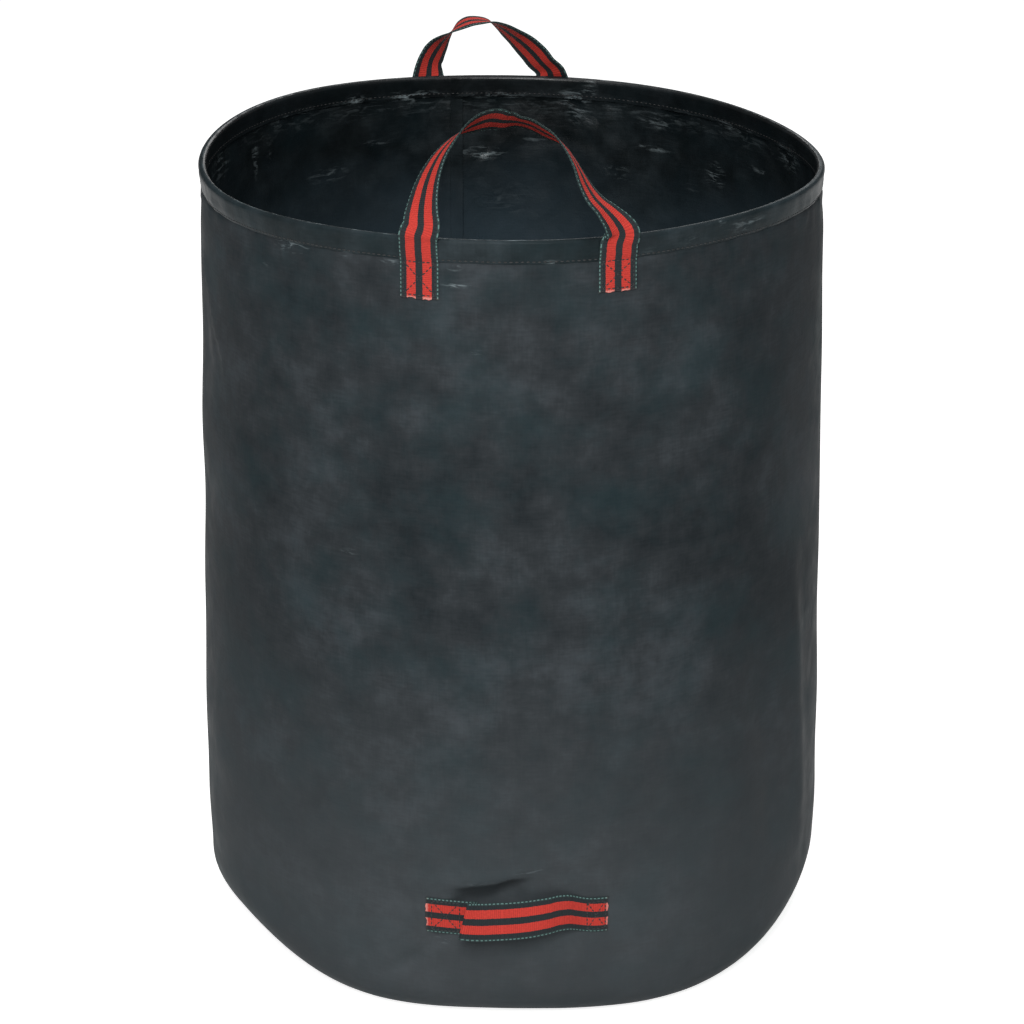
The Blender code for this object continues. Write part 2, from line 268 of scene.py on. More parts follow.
# Puckers that the hem's stitches draw below the rim: angle, upper and lower height, slant.
PUCKERS_MM = (
    (222, 846, 830, 2), (225.6, 850, 826, 1), (230.2, 850, 832, -2.5), (235, 849, 838, 2),
    (240.3, 851, 832, 1.5), (248.4, 851, 836, -2), (259.5, 851, 822, 1.5), (262, 851, 834, -1.5),
    (276.9, 852, 836, 2), (282, 851, 838, -2), (294.5, 851, 832, 1.5), (302, 853, 838, -2),
    (309.1, 853, 830, 2), (315.4, 854, 826, -1.5), (322, 854, 836, 2), (329.9, 852, 830, 1.5),
    (338, 850, 834, -2),
)


# Laminated woven polypropylene: flat tapes 2.6 mm wide under a clear film. The weave shows as
# a fine grain through a satin sheen, which the soft dents and fine creases of the film break.
# The same cloth is glossier on its inside, which no light or dust has dulled, and its inside
# is painted blacker as shade.
TAPE = 0.0026
WEAVE_DEPTH = 0.00013
PAINTED_LIGHT_DRIFT = 0.11


def linear(hex_colour):
    """An sRGB hex value as the linear colour that Blender's sockets take."""
    parts = [int(hex_colour[place:place + 2], 16) / 255 for place in (1, 3, 5)]
    curve = [part / 12.92 if part <= 0.04045 else ((part + 0.055) / 1.055) ** 2.4 for part in parts]
    return (*curve, 1.0)


def set_inputs(tree, node, inputs):
    """Sets inputs to values, or links them to sockets or to the first outputs of nodes."""
    for socket, value in inputs.items():
        if isinstance(value, bpy.types.Node):
            value = value.outputs[0]
        if isinstance(value, bpy.types.NodeSocket):
            tree.links.new(value, node.inputs[socket])
        else:
            node.inputs[socket].default_value = value


def add_node(tree, kind, inputs=None, **settings):
    """Adds one node with its settings and inputs."""
    node = tree.nodes.new("ShaderNode" + kind)
    for name, value in settings.items():
        setattr(node, name, value)
    set_inputs(tree, node, inputs or {})
    return node


def new_material(name):
    material = bpy.data.materials.new(name)
    material.use_nodes = True
    tree = material.node_tree
    tree.nodes.clear()
    shader = add_node(tree, "BsdfPrincipled")
    add_node(tree, "OutputMaterial", {"Surface": shader})
    return material, tree, shader


def stretched(tree, place, scale):
    return add_node(tree, "Mapping", {"Vector": place, "Scale": scale})


def noise(tree, place, scale, detail=2.0, roughness=0.5, distortion=0.0):
    return add_node(tree, "TexNoise", {
        "Vector": place, "Scale": scale, "Detail": detail, "Roughness": roughness,
        "Distortion": distortion})


def maths(tree, operation, *values):
    return add_node(tree, "Math", dict(enumerate(values)), operation=operation)


def spread(tree, value, low=0.0, high=1.0, least=0.0, most=1.0):
    """A value taken from between low and high to between least and most."""
    return add_node(tree, "MapRange", {
        "Value": value, "From Min": low, "From Max": high, "To Min": least, "To Max": most})


def mixed(tree, share, under, over):
    """A colour laid over another by its share."""
    mix = add_node(tree, "Mix", {"Factor": share, 6: under, 7: over}, data_type="RGBA")
    return mix.outputs[2]


def bumped(tree, height, strength, distance, beneath=None):
    """Relief of a depth in metres, on top of the relief beneath."""
    under = {"Normal": beneath} if beneath else {}
    return add_node(tree, "Bump", {
        "Height": height, "Strength": strength, "Distance": distance, **under})


def woven_film(name, tones, tint, gloss, shine, crumple, lower_painted_light=None):
    """The laminated cloth: tones are its dark, middle and pale shades and tint the hue of some
    patches. Gloss is its roughness from shiny to dull, shine its specular level, and crumple
    the depth of its creases in metres where it is creased. Painted light makes its lower part
    paler: its colour, the heights where it begins and where it is full, and its share there."""
    material, tree, shader = new_material(name)
    place = add_node(tree, "UVMap").outputs["UV"]
    creases_and_glints = add_node(tree, "Attribute", attribute_name="creases_and_glints").outputs["Fac"]
    patches = noise(tree, place, 6.0, 4.0, 0.55)
    mottle = noise(tree, place, 27.0, 5.0, 0.62)
    tapes_across = noise(tree, stretched(tree, place, (60.0, 1 / TAPE, 1.0)), 1.0, 1.0)
    tapes_up = noise(tree, stretched(tree, place, (1 / TAPE, 45.0, 1.0)), 1.0, 1.0)
    grain = maths(tree, "MULTIPLY_ADD", tapes_up, 0.7, tapes_across)
    cloudy = maths(tree, "MULTIPLY_ADD", mottle, 0.8, patches)
    shade = spread(tree, maths(tree, "MULTIPLY_ADD", grain, 0.16, cloudy), 0.78, 1.30)
    ramp = add_node(tree, "ValToRGB", {"Fac": shade})
    stops = ramp.color_ramp.elements
    stops[0].color = linear(tones[0])
    stops[1].color = linear(tones[2])
    stops.new(0.5).color = linear(tones[1])
    moved = add_node(tree, "Mapping", {"Vector": place, "Location": (3.1, 1.7, 0.0)})
    hues = noise(tree, moved, 11.0, 4.0, 0.65)
    colour = mixed(tree, spread(tree, hues, 0.45, 0.68, most=0.45), ramp, linear(tint))
    # Painted light: the lower part of the cloth is drawn paler, in drifting patches.
    if lower_painted_light:
        painted_light_colour, begins, full, most = lower_painted_light
        up = add_node(tree, "SeparateXYZ", {"Vector": place}).outputs["Y"]
        drop = maths(tree, "MULTIPLY_ADD", patches, 2 * PAINTED_LIGHT_DRIFT, up)
        lower = spread(tree, drop, begins + PAINTED_LIGHT_DRIFT, full + PAINTED_LIGHT_DRIFT, most=most)
        colour = mixed(tree, lower, colour, linear(painted_light_colour))
    # Creased film is painted with glints along its creases, pale short strokes of 20 by 4 mm that
    # stand in for highlights, and breaks into bent facets some 40 mm across with softer dents on
    # them.
    strokes = noise(tree, stretched(tree, place, (0.32, 1.5, 1.0)), 160.0, 3.0, 0.6, 0.8)
    # Painted glints: the pale strokes stand in for highlights on the creases.
    pale = maths(tree, "MULTIPLY", spread(tree, strokes, 0.50, 0.70, most=0.90),
                 spread(tree, creases_and_glints, low=0.22))
    bend = add_node(tree, "VectorMath", {
        0: noise(tree, place, 14.0).outputs["Color"], 1: (0.06, 0.06, 0.0)}, operation="MULTIPLY")
    bent = add_node(tree, "VectorMath", {0: place, 1: bend}, operation="ADD")
    facets = add_node(tree, "TexVoronoi", {"Vector": bent, "Scale": 26.0},
                      feature="DISTANCE_TO_EDGE")
    crumpled = maths(tree, "MULTIPLY_ADD", spread(tree, facets, high=0.35), 0.30,
                     noise(tree, bent, 30.0, 5.0))
    weave = bumped(tree, grain, 1.0, WEAVE_DEPTH)
    set_inputs(tree, shader, {
        "Base Color": mixed(tree, pale, colour, linear("#93a0a4")),
        "Roughness": spread(tree, mottle, 0.3, 0.7, *gloss),
        "Specular IOR Level": shine,
        "Normal": bumped(tree, crumpled, creases_and_glints, crumple, weave)})
    return material


# Both cloths are painted paler low down as light: the outer towards its foot, the inner lower
# inside.
outer_cloth = woven_film(
    "laminated_woven_polypropylene", ("#23282b", "#313538", "#404549"), "#213438",
    (0.45, 0.65), 0.015, 0.0060, lower_painted_light=("#505558", 0.46, 0.12, 0.45))
# The inside's blacker tones are painted shade.
inner_cloth = woven_film(
    "laminated_polypropylene_inside", ("#0b0f10", "#13181a", "#1f2629"), "#101c20",
    (0.26, 0.45), 0.36, 0.0090, lower_painted_light=("#35424a", 0.79, 0.64, 0.85))

# Where the film is creased and painted with glints: angle, height, half length and half height in
# mm, and how much. All of the film is creased a little, and its rear more so along the hem.
CREASES_AND_GLINTS_MM = (
    (228, 846, 20, 5, 0.95), (240.2, 849, 9, 3, 0.6), (248.4, 846, 11, 3, 0.7),
    (222.3, 820, 16, 4, 0.35), (260.3, 846, 9, 4, 0.55), (260.7, 828, 16, 3, 0.75),
    (276.9, 852, 11, 3, 0.6), (294.4, 856, 14, 5, 0.35), (315.3, 863, 32, 7, 0.55),
    (309, 872, 4, 4, 0.9), (302.4, 860, 12, 5, 0.4), (208.9, 854, 20, 6, 0.35),
    (245.8, 713, 12, 3, 0.45), (251.7, 577, 24, 3, 0.5), (240.5, 530, 18, 3, 0.45),
    (264, 760, 12, 3, 0.35), (273, 188, 20, 6, 0.45), (265, 175, 22, 5, 0.4),
    (258, 105, 10, 3, 0.85), (290, 115, 12, 3, 0.3), (110.5, 853, 26, 6, 0.95),
    (123.1, 854, 18, 6, 0.7), (93, 852, 40, 5, 0.55), (77.1, 850, 18, 10, 0.85),
    (73.8, 866, 8, 10, 0.85), (76, 832, 18, 14, 0.55), (96, 781, 24, 7, 0.85),
    (98.5, 755, 20, 6, 0.35), (91.4, 724, 60, 30, 0.3), (129.7, 769, 34, 10, 0.45),
    (45.3, 785, 16, 16, 0.6), (68.2, 766, 22, 6, 0.6), (21.2, 843, 30, 18, 0.55),
    (165.5, 833, 30, 20, 0.55), (58.8, 834, 30, 12, 0.5), (40, 850, 40, 8, 0.5),
    (140, 846, 40, 10, 0.5), (150, 812, 6, 24, 0.6), (146, 815, 5, 20, 0.5),
    (60.5, 800, 26, 4, 0.6), (51, 760, 20, 4, 0.5), (33, 810, 24, 4, 0.5), (84.5, 800, 18, 4, 0.6),
    (118, 800, 22, 4, 0.45),
)


def creases_and_glints_at(around, height):
    """How creased the film is at each point, from 0 to 1, which also sets its painted glints."""
    rear_band = np.exp(-((height - 0.842) / 0.022) ** 2)
    rear_side = np.cos((around / CLOTH_GIRTH) * FULL_TURN + SEAM_ANGLE - math.radians(90))
    amount = 0.10 + 0.20 * rear_band * ease(rear_side / 0.6)
    for angle, middle, half_length, half_height, much in CREASES_AND_GLINTS_MM:
        apart = (around - along_girth(angle) + CLOTH_GIRTH / 2) % CLOTH_GIRTH - CLOTH_GIRTH / 2
        spot = (apart * 1000 / half_length) ** 2 + ((height * 1000 - middle) / half_height) ** 2
        amount = np.maximum(amount, much * np.exp(-0.7 * spot))
    return np.clip(amount, 0, 1)


# The wall's grid goes round from the seam. Its columns crowd at the front and beside the seam.
COLUMNS = 312
even = np.linspace(0, FULL_TURN, COLUMNS + 1)
bunched = even - 0.34 * np.sin(even - (math.radians(270) - SEAM_ANGLE))
bunched = (bunched - bunched[0]) / (bunched[-1] - bunched[0]) * FULL_TURN
near_seam = np.array([0.0015, 0.003, 0.005, 0.008]) / RIM_RADIUS
angles = SEAM_ANGLE + np.unique(np.concatenate([bunched, near_seam, FULL_TURN - near_seam]))
rows = np.concatenate([
    np.linspace(0, 1, 25), 1 + np.linspace(0.005, 0.10, 20), 1 + np.linspace(0.110, 0.66, 54),
    1 + np.linspace(0.667, BAND_FOOT - EDGE_ENDS, 10),
    1 + np.linspace(0.696, WALL_TOP - EDGE_ENDS, 21)])
grid_angle, grid_share = np.meshgrid(angles, rows)
radius, height, up = profile(grid_angle, grid_share)
around = (grid_angle - SEAM_ANGLE) / FULL_TURN * CLOTH_GIRTH
below_rim = height - hoop_lift(grid_angle)
radius = radius - TUCKED_IN * ease((below_rim - HEM_FOOT + 0.003) / 0.003)
wall_places = round_places(radius, grid_angle, height)
# The cloth keeps its shape where it is sewn: at the seam, hem and base and under the straps.
from_seam = np.minimum(around, CLOTH_GIRTH - around)
calm = ease(from_seam / 0.04) * ease((HEM_FOOT - below_rim) / 0.05) * ease(grid_share / 0.8)
beside = 1.0
for angle, half_width, low, high in SEWN_ENDS_MM:
    aside = np.abs(around - along_girth(angle)) - half_width / 1000
    above = np.abs(height - (low + high) / 2000) - (high - low) / 2000
    beside = beside * ease(np.maximum(above, aside) / 0.025)
calm = calm * beside
# Elsewhere it has broad waves, smaller ones below the hem at the rear, a furrow along the seam,
# the folds, and the puckers, which come at every few degrees round the rear.
lift = 0.0011 * calm * ripples(
    around, height, seed=7, count=16, shortest=0.10, longest=0.36)
rear = ease((np.cos(grid_angle - math.radians(90)) - 0.1) / 0.5) * ease(from_seam / 0.02) * beside
rear = rear * ease((below_rim - 0.72) / 0.10) * ease((HEM_FOOT + 0.004 - below_rim) / 0.006)
lift = lift + 0.0010 * rear * ripples(
    around, height, seed=19, count=18, shortest=0.022, longest=0.07)
lift = lift - 0.0012 * np.exp(-((from_seam / 0.0035) ** 2)) * ease(grid_share / 0.9)
for folded in FOLDS_MM:
    lift = lift + fold(around, height, *folded)
for angle, high, low, slant in PUCKERS_MM:
    path = ((angle, high), (angle + slant, low))
    lift = lift + fold(around, below_rim, path, deep_mm=1.4, wide_mm=4.5)
chance = np.random.RandomState(31)
for angle in np.arange(-20, 210, 7.5):
    slant, drop = chance.uniform(-3, 3), chance.uniform(12, 30)
    where = angle + chance.uniform(-2, 2)
    path = ((where, 851), (where + slant, 851 - drop))
    lift = lift + beside * fold(around, below_rim, path, deep_mm=1.2, wide_mm=6)
wall_places = wall_places + outward(wall_places) * lift[:, :, None]
wall_places[:, -1] = wall_places[:, 0]
wall_creases_and_glints = creases_and_glints_at(around, below_rim)
cuff_row, band_row = [
    int(np.argmin(np.abs(rows - 1 - height + EDGE_ENDS))) for height in (CUFF_TOP, BAND_FOOT)]


def wall_length(name, body, first, last):
    piece = placed_grid(
        name, wall_places[first:last], around[first:last], up[first:last], closed=True,
        creases_and_glints=wall_creases_and_glints[first:last])
    thicken(piece, CLOTH, outer_cloth, inner_cloth)
    smooth(piece, 60)
    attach(piece, body)
    return piece


def press_flat(piece):
    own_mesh(piece)


wall_foot = wall_length("wall_cloth_at_foot", "root", 0, cuff_row + 1)
wall = wall_length("wall_cloth", "root", cuff_row, band_row + 1)
wall_top = wall_length("wall_cloth_at_rim", "rim", band_row, len(rows))
press_flat(wall)
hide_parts("wall_panel")
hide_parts("wall_panel")

# Base: a round of the same cloth, sewn to the wall's lower edge. It lies flat on the ground
# and turns up a little where the wall's lower edge is rounder than the rest.
BASE_SEAM_RADIUS = 0.2925
SEWN_GAP = 0.0003
BASE_RINGS = 24
BASE_STEPS = 144


def edge_rise(angle, radius):
    """Height of the underside at a radius, where the rounded edge reaches in under the bag."""
    corner = lower_edge(angle)
    into = np.clip(radius - (BASE_RADIUS - corner), 0, None)
    return corner - np.sqrt(corner ** 2 - into ** 2)


base_radii = np.linspace(BASE_SEAM_RADIUS - SEWN_GAP, 0, BASE_RINGS + 1)
ring_angle, ring_radius = np.meshgrid(np.linspace(FULL_TURN, 0, BASE_STEPS + 1), base_radii)
base_places = round_places(ring_radius, ring_angle, edge_rise(ring_angle, ring_radius))
base_places[:, -1] = base_places[:, 0]
base = placed_grid(
    "base_cloth", base_places, base_places[:, :, 0], base_places[:, :, 1], closed=True,
    creases_and_glints=np.full_like(ring_radius, 0.2))
thicken(base, CLOTH, outer_cloth, inner_cloth)
smooth(base)
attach(base, "root")
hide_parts("base_panel")

# Base seam: the cut edges of wall and base, sewn together and standing up inside the bag. They
# wave a little, because each is longer than the line that it is sewn along.
BASE_SEAM_WIDTH = 0.012
seam_angle, seam_share = np.meshgrid(np.linspace(0, FULL_TURN, 181), np.linspace(0, 1, 6))
seam_height = (edge_rise(seam_angle, BASE_SEAM_RADIUS - 0.003) + CLOTH + SEWN_GAP
               + BASE_SEAM_WIDTH * seam_share)
seam_radius = (BASE_SEAM_RADIUS - 0.002
               - 0.004 * seam_share ** 2 * (1 + 0.4 * np.sin(9 * seam_angle)))
seam_places = round_places(seam_radius, seam_angle, seam_height)
seam_places[:, -1] = seam_places[:, 0]
base_seam = placed_grid(
    "base_seam", seam_places, seam_angle * BASE_SEAM_RADIUS, seam_share * BASE_SEAM_WIDTH,
    closed=True)
thicken(base_seam, 2 * CLOTH, inner_cloth)
smooth(base_seam)
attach(base_seam, "root")
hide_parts("base_seam_allowance")

# Side seam: the wall's two edges turned in at the rear, sewn, and lying flat against its
# inside. It comes in the wall's three lengths and goes down with them.
SIDE_SEAM_WIDTH = 0.014


def seam_length(name, body, low, high, steps):
    share, above = np.meshgrid(np.linspace(1, 0, 8), np.linspace(low, high, steps) - EDGE_ENDS)
    angle = SEAM_ANGLE - share * SIDE_SEAM_WIDTH / RIM_RADIUS
    reach, height, way = profile(angle, 1 + above)
    reach = reach - 2 * CLOTH - SEWN_GAP - 0.0009 * (1 + np.sin(above * 75)) * share
    piece = placed_grid(
        name, round_places(reach, angle, height), share * SIDE_SEAM_WIDTH, way)
    thicken(piece, 2 * CLOTH, inner_cloth)
    smooth(piece)
    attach(piece, body)
    return piece


seam_foot = seam_length("side_seam_at_foot", "root", EDGE_ENDS, CUFF_TOP, 11)
side_seam = seam_length("side_seam", "root", CUFF_TOP, BAND_FOOT, 72)
seam_top = seam_length("side_seam_at_rim", "rim", BAND_FOOT, HEM_FOOT - 0.004, 8)
press_flat(side_seam)
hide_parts("side_seam_allowance")
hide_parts("side_seam_allowance")

# Hem: the cloth's upper edge, folded over the hoop and sewn down 24 mm below the rim, so that
# it stands in a low tube above a narrow groove.
HOOP_LINE = 0.3306
HOOP_HEIGHT = 0.8706
HEM_RADIUS_MM = 4.3
HEM_STEPS = 480


def way_along(points):
    """Distance from the first point to each one, along the line through them."""
    return np.concatenate([[0], np.cumsum(np.linalg.norm(np.diff(points, axis=0), axis=1))])


# The section of the fold, outward and up from the hoop's line: its front, top and back.
hem_section = [
    (0.1, -20.4), (0.6, -19.2), (1.2, -17.8), (1.9, -15), (2.6, -11.8), (3.2, -8.5), (3.8, -5),
    (4.2, -1.8)]
for degrees in range(12, 180, 12):
    turn = math.radians(degrees)
    hem_section.append((HEM_RADIUS_MM * math.cos(turn), HEM_RADIUS_MM * math.sin(turn)))
hem_section += [
    (-4.3, 0), (-4.1, -3), (-3.8, -6.5), (-3.5, -10), (-3.2, -13.5), (-3.1, -16.5), (-3.1, -19),
    (-3, -20.2)]
hem_section = np.array(hem_section) / 1000
hem_offset, hem_rise = hem_section.T
hem_way = way_along(hem_section)


def hem_outside(below_hoop):
    """Radius of the hem's outer face, or of the wall under it, by height from the hoop line."""
    outer = HOOP_LINE + np.interp(below_hoop, hem_rise[:8], hem_offset[:8])
    wall_face = wall_radius(HOOP_HEIGHT + below_hoop)
    return np.where(below_hoop < hem_rise[0], wall_face, np.maximum(outer, wall_face))


# The hem's cloth is the wall's and glossier, painted darker than the wall as shade, and darker
# still on the fold's inside.
hem_cloth = woven_film(
    "folded_laminated_polypropylene", ("#1b2123", "#262d30", "#343c40"), "#1a2b2f",
    (0.30, 0.46), 0.035, 0.0060)
# The fold's inside is painted near black as shade.
hem_inside = woven_film(
    "folded_polypropylene_inside", ("#0a0d0e", "#121618", "#1b2124"), "#101a1d",
    (0.26, 0.42), 0.35, 0.0070)
# A small tear on the front, and a painted highlight along the fold's top edge, most of all at the
# front.
TEAR_ANGLE = 285
HIGHLIGHT_ROW, HIGHLIGHT_ANGLE = 15.5, 254
hem_angle, hem_row = np.meshgrid(
    np.linspace(SEAM_ANGLE, SEAM_ANGLE + FULL_TURN, HEM_STEPS + 1), np.arange(len(hem_section)))
hem_around = (hem_angle - SEAM_ANGLE) / FULL_TURN * CLOTH_GIRTH
outer_part = ease(-(hem_row - 12) / 8)
hem_wander = 0.00035 * ease(
    np.minimum(hem_around, CLOTH_GIRTH - hem_around) / 0.03) * ripples(
        hem_around, hem_way[hem_row], seed=5, count=14, shortest=0.015, longest=0.06)
hem_radius = (HOOP_LINE + hem_offset[hem_row] + hem_wander * outer_part
              + fullness(hem_angle, HEM_FOOT) * ease((-hem_rise[hem_row] - 0.004) / 0.012))
torn = ((hem_angle - math.radians(TEAR_ANGLE)) * RIM_RADIUS / 0.0055) ** 2
hem_radius = hem_radius - 0.0028 * np.exp(
    -torn - ((hem_rise[hem_row] - 0.001) / 0.006) ** 2) * outer_part
hem_places = round_places(
    hem_radius, hem_angle, HOOP_HEIGHT + hem_rise[hem_row] + hoop_lift(hem_angle))
hem_places[:, -1] = hem_places[:, 0]
# Painted highlight: the fold's top edge is made pale, strongest at the front.
hem_top_highlight = np.exp(-((hem_row - HIGHLIGHT_ROW) / 2.4) ** 2) * (
    0.45 + 0.85 * np.exp(-((hem_angle - math.radians(HIGHLIGHT_ANGLE)) / 0.50) ** 2))
hem = placed_grid(
    "hem_cloth", hem_places, hem_around, hem_way[hem_row], closed=True,
    creases_and_glints=np.maximum(creases_and_glints_at(hem_around, HOOP_HEIGHT + hem_rise[hem_row]), hem_top_highlight))
thicken(hem, CLOTH, hem_cloth)
hem.data.materials.append(hem_inside)
for face in hem.data.polygons:
    if math.hypot(face.center.x, face.center.y) < HOOP_LINE - 0.001:
        face.material_index = 1
smooth(hem, 60)
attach(hem, "rim")
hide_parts("rim_hem")

# Hem stitches: two rows of bonded black thread, one on each face of the cloth. Every stitch
# sinks at its ends, where it is drawn tight. The plies of the thread give it a faint streak.
STITCH_LENGTH = 0.0040
STITCH_WIDTH = 0.0014
thread, tree, shader = new_material("bonded_sewing_thread")
plies = noise(tree, add_node(tree, "TexCoord").outputs["Object"], 900.0, 1.0)
set_inputs(tree, shader, {
    "Base Color": mixed(tree, plies, linear("#0b0c0d"), linear("#1c1e20")), "Roughness": 0.6})

bpy.ops.mesh.primitive_uv_sphere_add(segments=6, ring_count=5, radius=0.5)
stitch_shape = bpy.context.object
edit_all()
bpy.ops.transform.rotate(value=math.pi / 2, orient_axis="Y", center_override=(0, 0, 0))
bpy.ops.transform.resize(
    value=(STITCH_LENGTH, STITCH_WIDTH, STITCH_WIDTH * 0.8), center_override=(0, 0, 0))
bpy.ops.object.mode_set(mode="OBJECT")
for vertex in stitch_shape.data.vertices:
    vertex.co.z -= 0.0004 * (2 * vertex.co.x / STITCH_LENGTH) ** 2
stitch_shape.data.materials.append(thread)


def sewn(name, lines, pitch):
    """Rows of stitches: each line is a list of points with the way out from the cloth."""
    select_none()
    copies = []
    for points, normals in lines:
        points, normals = np.array(points), np.array(normals)
        way = way_along(points)
        count = max(int(way[-1] / pitch), 1)
        for number in range(count):
            at = (number + 0.5) * way[-1] / count
            middle, before, after = [
                Vector([np.interp(at + step, way, points[:, axis]) for axis in range(3)])
                for step in (0, -0.001, 0.001)]
            out = Vector([np.interp(at, way, normals[:, axis]) for axis in range(3)]).normalized()
            along = (after - before).normalized()
            side = out.cross(along).normalized()
            out = along.cross(side)
            turn = Matrix((along, side, out)).transposed().to_4x4()
            copy = stitch_shape.copy()
            copy.data = stitch_shape.data.copy()
            bpy.context.scene.collection.objects.link(copy)
            copy.matrix_world = Matrix.Translation(middle) @ turn
            copies.append(copy)
    for copy in copies:
        copy.select_set(True)
    bpy.context.view_layer.objects.active = copies[0]
    bpy.ops.object.join()
    bpy.ops.object.transform_apply(location=True, rotation=True, scale=True)
    piece = bpy.context.object
    piece.name = name
    piece.data.name = name
    smooth(piece, 60)
    return piece


ring_way = hem_places[0] * (1, 1, 0) / np.hypot(hem_places[0, :, 0], hem_places[0, :, 1])[:, None]
hem_stitches = sewn("hem_stitches", [
    (hem_places[2] + 0.0001 * ring_way, ring_way),
    (hem_places[-3] - 0.0001 * ring_way, -ring_way)], 0.0056)
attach(hem_stitches, "rim")

# Hoop: a drawn glass-fibre rod, 5 mm thick, that springs the mouth open from inside the hem.
# Its strands show as faint streaks of black and dark grey, some shinier than others.
HOOP_ROD_RADIUS = 0.0025
rod_finish, tree, shader = new_material("drawn_glass_fibre_rod")
strands = noise(tree, add_node(tree, "TexCoord").outputs["Object"], 220.0, 3.0)
set_inputs(tree, shader, {
    "Base Color": mixed(tree, strands, linear("#191b1d"), linear("#2b2d30")),
    "Roughness": spread(tree, strands, least=0.35, most=0.55)})


def follow_wave(piece, height=0.0):
    """Raises a piece by a height and by the hoop's wave."""
    for vertex in piece.data.vertices:
        vertex.co.z += height + float(hoop_lift(math.atan2(vertex.co.y, vertex.co.x)))


bpy.ops.mesh.primitive_torus_add(
    major_radius=HOOP_LINE, minor_radius=HOOP_ROD_RADIUS, major_segments=240, minor_segments=12)
hoop = bpy.context.object
hoop.name = "hoop_rod"
follow_wave(hoop, HOOP_HEIGHT)
hoop.data.materials.append(rod_finish)
smooth(hoop)
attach(hoop, "rim")
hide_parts("rim_hoop")

# Joiner: a short moulded sleeve that the hoop's two ends are pushed into, inside the hem and to
# the left of the side seam. Its polyethylene is an even dark grey, finely pitted by the mould.
SLEEVE_RADIUS = 0.0033
SLEEVE_WALL = 0.0005
sleeve_finish, tree, shader = new_material("moulded_polyethylene_sleeve")
pitted = noise(tree, add_node(tree, "TexCoord").outputs["Object"], 500.0)
set_inputs(tree, shader, {
    "Base Color": linear("#2a2c2e"), "Roughness": 0.5,
    "Normal": bumped(tree, pitted, 0.3, 0.0001)})
SLEEVE_FROM, SLEEVE_TO = math.radians(135.3), math.radians(139.7)
bpy.ops.mesh.primitive_circle_add(
    vertices=24, radius=SLEEVE_RADIUS, rotation=(math.pi / 2, 0, SLEEVE_FROM),
    location=(HOOP_LINE * math.cos(SLEEVE_FROM), HOOP_LINE * math.sin(SLEEVE_FROM), HOOP_HEIGHT))
bpy.ops.object.transform_apply(location=True, rotation=True, scale=True)
sleeve = bpy.context.object
sleeve.name = "joiner_sleeve"
edit_all()
bpy.ops.mesh.spin(
    steps=16, angle=SLEEVE_TO - SLEEVE_FROM, center=(0, 0, HOOP_HEIGHT), axis=(0, 0, 1))
bpy.ops.mesh.select_all(action="SELECT")
bpy.ops.mesh.remove_doubles(threshold=0.00001)
bpy.ops.mesh.normals_make_consistent(inside=False)
bpy.ops.object.mode_set(mode="OBJECT")
follow_wave(sleeve)
thicken(sleeve, SLEEVE_WALL, sleeve_finish)
smooth(sleeve)
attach(sleeve, "rim")
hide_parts("hoop_joiner")

# Front lift handle: 40 mm polypropylene webbing, woven with two red stripes on near black and a
# laced pale pick along each edge. Its ends are sewn to the outside of the hem, and the arch
# between them leans in and turns edge on at both shoulders.
WEBBING_WIDTH = 0.040
WEBBING = 0.0016
WORN_EDGE = 0.4
STRIPES = ((0.0, "#23292c"), (0.185, "#c23a31"), (0.412, "#23292c"),
           (0.588, "#c23a31"), (0.815, "#23292c"))
RIB = 0.0010
LACE_PICK = 0.0021
FRAY = 0.0009

# Striped polypropylene webbing: matt ribs across it every 2 mm with painted shade in their
# grooves, red and near-black stripes with edges as uneven as the yarns, a pale pick along both
# borders, and paler red at its cut ends, partly frayed and partly a painted highlight.
webbing, tree, shader = new_material("striped_polypropylene_webbing")
place = add_node(tree, "UVMap").outputs["UV"]
parts = add_node(tree, "SeparateXYZ", {"Vector": place})
from_side, from_cut = parts.outputs["X"], parts.outputs["Y"]
wander = noise(tree, place, 650.0, 1.0)
frayed = maths(tree, "MULTIPLY_ADD", wander, FRAY, from_side)
stripes = add_node(tree, "ValToRGB", {"Fac": maths(tree, "DIVIDE", frayed, WEBBING_WIDTH + FRAY)})
stripes.color_ramp.interpolation = "CONSTANT"
stops = stripes.color_ramp.elements
stops[0].color = linear(STRIPES[0][1])
stops[1].position = STRIPES[1][0]
stops[1].color = linear(STRIPES[1][1])
for at, colour in STRIPES[2:]:
    stops.new(at).color = linear(colour)
rib = spread(tree, maths(tree, "PINGPONG", from_cut, RIB), high=RIB)
fibres = noise(tree, stretched(tree, place, (2200.0, 260.0, 1.0)), 1.0)
# Painted shade: the grooves between the ribs are drawn darker; the fibres vary the tone at random.
rib_shade_and_fibres = maths(tree, "MULTIPLY", spread(tree, rib, high=0.45, least=0.66),
             spread(tree, fibres, 0.3, 0.7, 0.80, 1.15))
colour = add_node(tree, "VectorMath", {0: stripes, "Scale": rib_shade_and_fibres}, operation="SCALE")
from_edge = maths(tree, "PINGPONG", from_side, WEBBING_WIDTH / 2)
border = maths(tree, "LESS_THAN", from_edge, 0.0024)
colour = mixed(tree, border, colour, linear("#283636"))
lace_band = maths(tree, "MULTIPLY", maths(tree, "GREATER_THAN", from_edge, 0.0004),
                  maths(tree, "LESS_THAN", from_edge, 0.0016))
lace_shown = maths(tree, "GREATER_THAN", maths(tree, "PINGPONG", from_cut, LACE_PICK), 0.0010)
lace = maths(tree, "MULTIPLY", lace_band, lace_shown)
colour = mixed(tree, lace, colour, linear("#5c7b77"))
uneven_end = maths(tree, "MULTIPLY_ADD", wander, 0.0030, from_cut)
